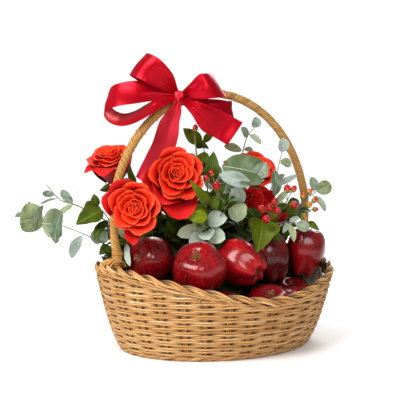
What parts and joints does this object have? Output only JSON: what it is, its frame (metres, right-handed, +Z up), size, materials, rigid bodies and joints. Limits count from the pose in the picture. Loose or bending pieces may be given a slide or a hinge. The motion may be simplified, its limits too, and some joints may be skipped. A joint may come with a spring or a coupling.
{
  "type": "fruit and flower basket",
  "caption": "Oval woven willow basket with a braided border and a tall arched handle, filled with red fruit, roses, eucalyptus and berries, with a satin bow on the handle.",
  "frame": {"origin": "centre of the underside of the basket", "axes": "+X along the handle towards its right foot as seen from the front, -Y towards the front that the fruit faces, +Z up"},
  "size_m": [0.4725, 0.3124, 0.4164],
  "materials": {
    "willow": "honey-brown woven willow",
    "cane": "golden wrapped cane",
    "paper": "cream paper",
    "satin": "crimson satin",
    "apple_skin": "waxy dark red fruit skin",
    "petal": "soft orange-red petals",
    "greenery": "dark green foliage",
    "silver_leaf": "grey-green matt leaves",
    "green_leaf": "green leaves",
    "berry_skin": "glossy red berries"
  },
  "bodies": {
    "root": {"apple_1": "apple_skin", "apple_2": "apple_skin", "apple_3": "apple_skin", "apple_4": "apple_skin", "apple_5": "apple_skin", "apple_6": "apple_skin", "apple_7": "apple_skin", "apple_8": "apple_skin", "basket_body": "willow", "basket_rim": "willow", "berries_centre": "berry_skin", "berries_far": "berry_skin", "berries_high": "berry_skin", "berries_low": "berry_skin", "berries_top": "berry_skin", "bow_knot": "satin", "bow_loop_left_high": "satin", "bow_loop_left_low": "satin", "bow_loop_right_high": "satin", "bow_loop_right_low": "satin", "bow_tail_down": "satin", "bow_tail_right": "satin", "eucalyptus_back_left": "silver_leaf", "eucalyptus_back_middle": "silver_leaf", "eucalyptus_centre_high": "silver_leaf", "eucalyptus_centre_low": "silver_leaf", "eucalyptus_centre_mid": "silver_leaf", "eucalyptus_left_high": "silver_leaf", "eucalyptus_left_inner": "silver_leaf", "eucalyptus_left_low": "silver_leaf", "eucalyptus_right_far": "silver_leaf", "eucalyptus_right_high": "silver_leaf", "eucalyptus_right_low": "silver_leaf", "eucalyptus_right_mid": "silver_leaf", "eucalyptus_top": "silver_leaf", "greenery": "greenery", "handle": "cane", "leaf_big": "green_leaf", "leaf_right": "green_leaf", "leaves_back_low": "green_leaf", "leaves_back_right": "green_leaf", "leaves_centre": "green_leaf", "leaves_foot": "green_leaf", "leaves_left": "green_leaf", "leaves_spear": "green_leaf", "leaves_top": "green_leaf", "liner": "paper", "rose_1": "petal", "rose_2": "petal", "rose_3": "petal", "rose_4": "petal", "rose_5": "petal", "rose_6": "petal", "rose_7": "petal"}
  },
  "joints": []
}
